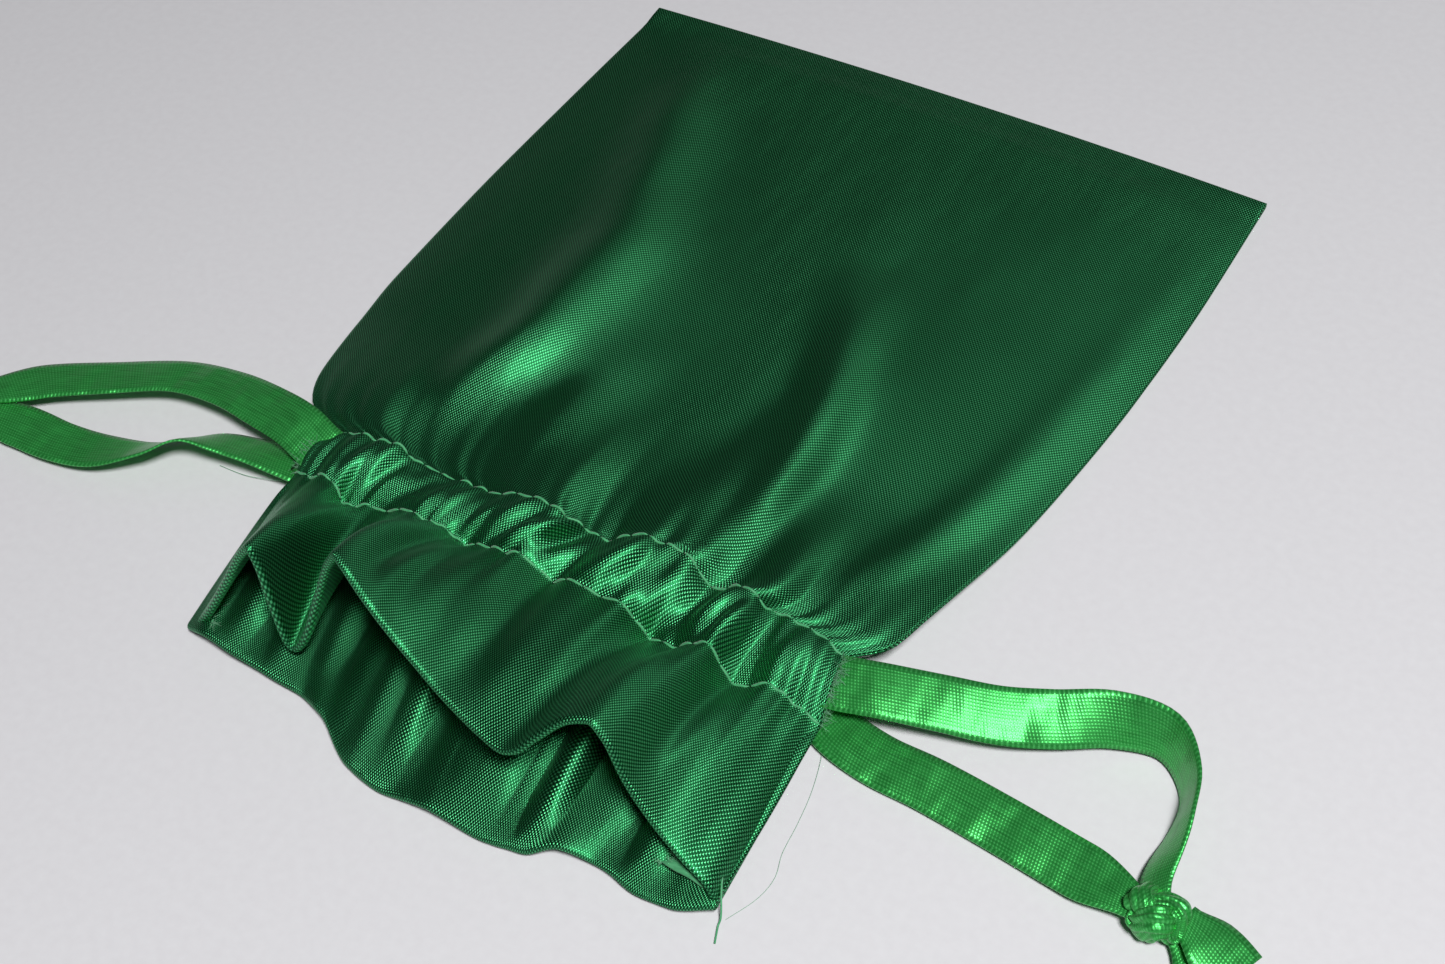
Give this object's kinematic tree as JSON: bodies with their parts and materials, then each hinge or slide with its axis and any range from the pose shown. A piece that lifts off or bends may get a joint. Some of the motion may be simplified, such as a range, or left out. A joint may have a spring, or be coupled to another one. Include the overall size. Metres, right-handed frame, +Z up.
{
  "type": "drawstring gift sack",
  "caption": "Small flat satin gift sack with a gathered neck, a ruffled mouth and a pair of knotted pull ribbons.",
  "frame": {"origin": "on the surface that the sack lies on, under the middle of the cloth's bounding box, ribbons left out", "axes": "+Y from the mouth to the closed bottom, +X to the right seen from the mouth with the front layer up, +Z up"},
  "size_m": [0.175, 0.123, 0.0216],
  "materials": {
    "satin": "dark green polyester satin, soft wide sheen",
    "ribbon": "mid green satin ribbon, bright sheen, woven edges",
    "thread": "light green sewing thread, matt"
  },
  "bodies": {
    "pouch": {"front_panel": "satin", "back_panel": "satin", "bottom_fold": "satin", "left_side_seam": "satin", "right_side_seam": "satin", "front_casing": "satin", "back_casing": "satin", "front_near_stitches": "thread", "front_far_stitches": "thread", "back_near_stitches": "thread", "back_far_stitches": "thread", "right_ribbon_return": "ribbon", "left_ribbon_return": "ribbon"},
    "header": {"front_header": "satin", "back_header": "satin", "left_header_seam": "satin", "right_header_seam": "satin", "seam_thread_tail": "thread"},
    "right_ribbon": {"right_ribbon_front_lead": "ribbon", "right_ribbon_back_lead": "ribbon"},
    "right_loop": {"right_upper_strand": "ribbon", "right_lower_strand": "ribbon", "right_knot": "ribbon", "right_tail_upper": "ribbon", "right_tail_lower": "ribbon"},
    "left_ribbon": {"left_ribbon_front_lead": "ribbon", "left_ribbon_back_lead": "ribbon"},
    "left_loop": {"left_upper_strand": "ribbon", "left_lower_strand": "ribbon", "left_knot": "ribbon", "left_tail_upper": "ribbon", "left_tail_lower": "ribbon"}
  },
  "joints": [
    {"name": "header_fold", "type": "hinge", "parent": "pouch", "child": "header", "pos_m": [0, -0.03345, 0.0088], "axis": [-1, 0, 0], "range_deg": [0, 55]},
    {"name": "right_pull", "type": "slide", "parent": "pouch", "child": "right_ribbon", "axis": [1, 0, 0], "range_m": [0, 0.02]},
    {"name": "right_loop_lift", "type": "hinge", "parent": "right_ribbon", "child": "right_loop", "pos_m": [0.033, -0.029, 0.0082], "axis": [0, -1, 0], "range_deg": [0, 75]},
    {"name": "left_pull", "type": "slide", "parent": "pouch", "child": "left_ribbon", "axis": [-1, 0, 0], "range_m": [0, 0.02]},
    {"name": "left_loop_lift", "type": "hinge", "parent": "left_ribbon", "child": "left_loop", "pos_m": [-0.0364, -0.029, 0.0082], "axis": [0, 1, 0], "range_deg": [0, 75]}
  ]
}
